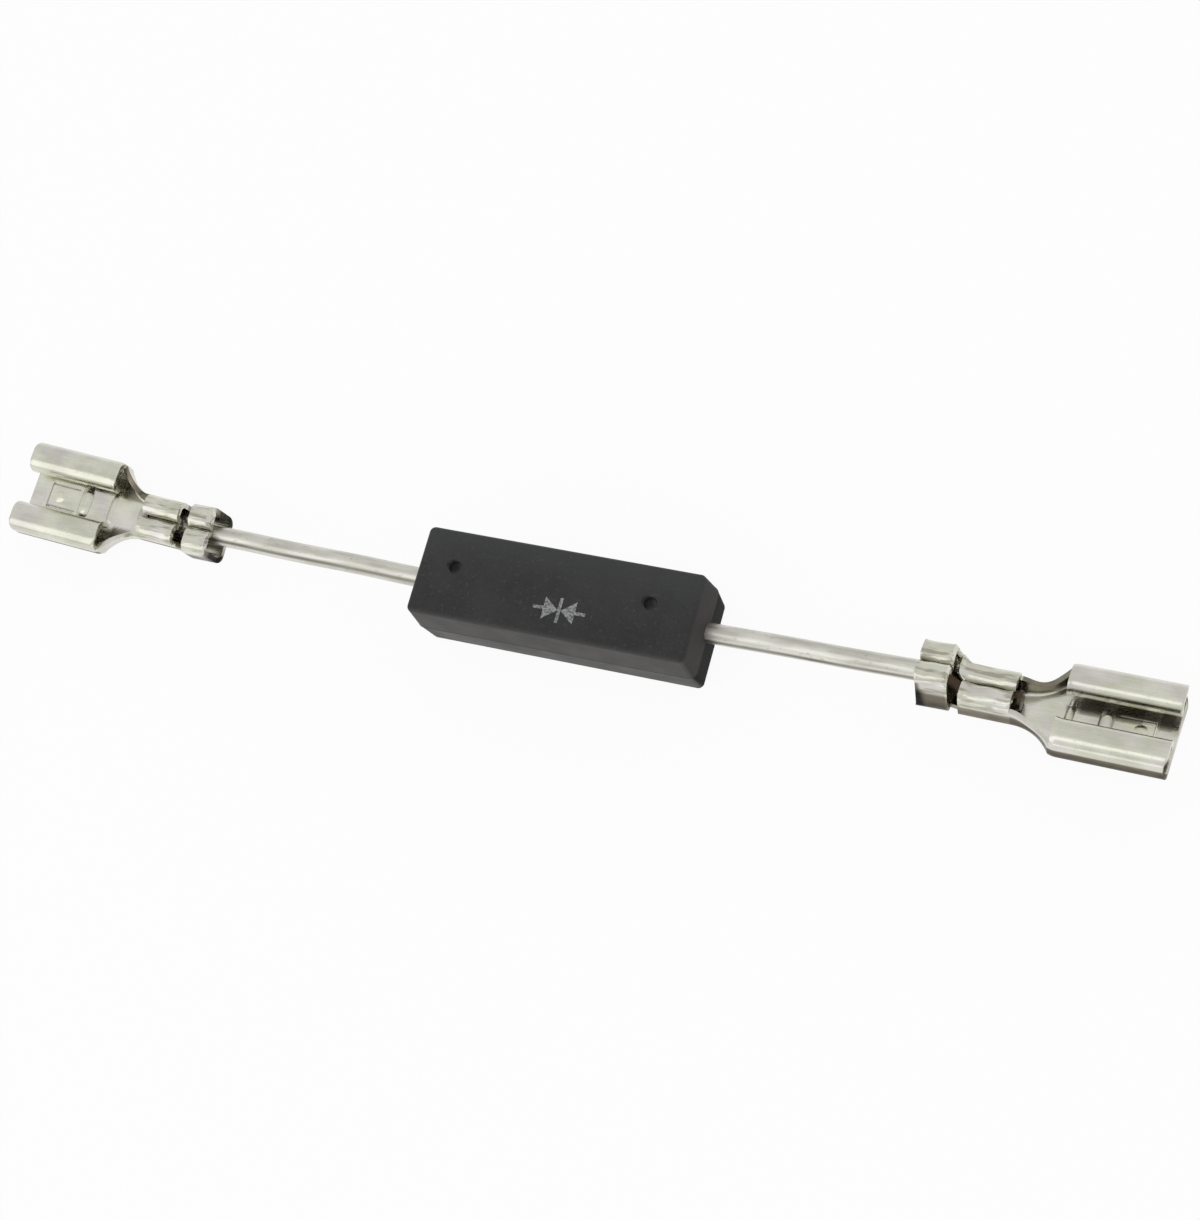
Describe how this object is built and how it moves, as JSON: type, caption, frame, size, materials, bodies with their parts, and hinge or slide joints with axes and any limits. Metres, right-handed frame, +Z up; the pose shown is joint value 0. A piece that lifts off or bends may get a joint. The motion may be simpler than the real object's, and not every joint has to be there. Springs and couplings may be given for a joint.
{
  "type": "microwave diode",
  "caption": "Black moulded high-voltage diode block with a stiff tinned lead at each end, each lead crimped into a folded push-on receptacle with rolled sides.",
  "frame": {"origin": "middle of the block's lower face, which it lies on", "axes": "+X along the leads towards the right-hand receptacle, +Y towards the back, +Z up"},
  "size_m": [0.0919, 0.0098, 0.0065],
  "materials": {
    "epoxy_moulding": "fine matte moulding",
    "tinned_wire": "drawn wire, hot tinned",
    "tinned_sheet": "stamped sheet, bright tin",
    "copper": "plain copper",
    "silicon": "polished silicon",
    "solder": "dull solder"
  },
  "bodies": {
    "root": {"moulded_body": "epoxy_moulding", "lead_left": "tinned_wire", "lead_right": "tinned_wire", "terminal_left": "tinned_sheet", "terminal_right": "tinned_sheet", "centre_slug": "copper", "die_1": "silicon", "die_2": "silicon", "die_3": "silicon", "die_4": "silicon", "die_5": "silicon", "die_6": "silicon", "die_7": "silicon", "die_8": "silicon", "solder_1": "solder", "solder_2": "solder", "solder_3": "solder", "solder_4": "solder", "solder_5": "solder", "solder_6": "solder", "solder_7": "solder", "solder_8": "solder", "solder_9": "solder", "solder_10": "solder"}
  },
  "joints": []
}
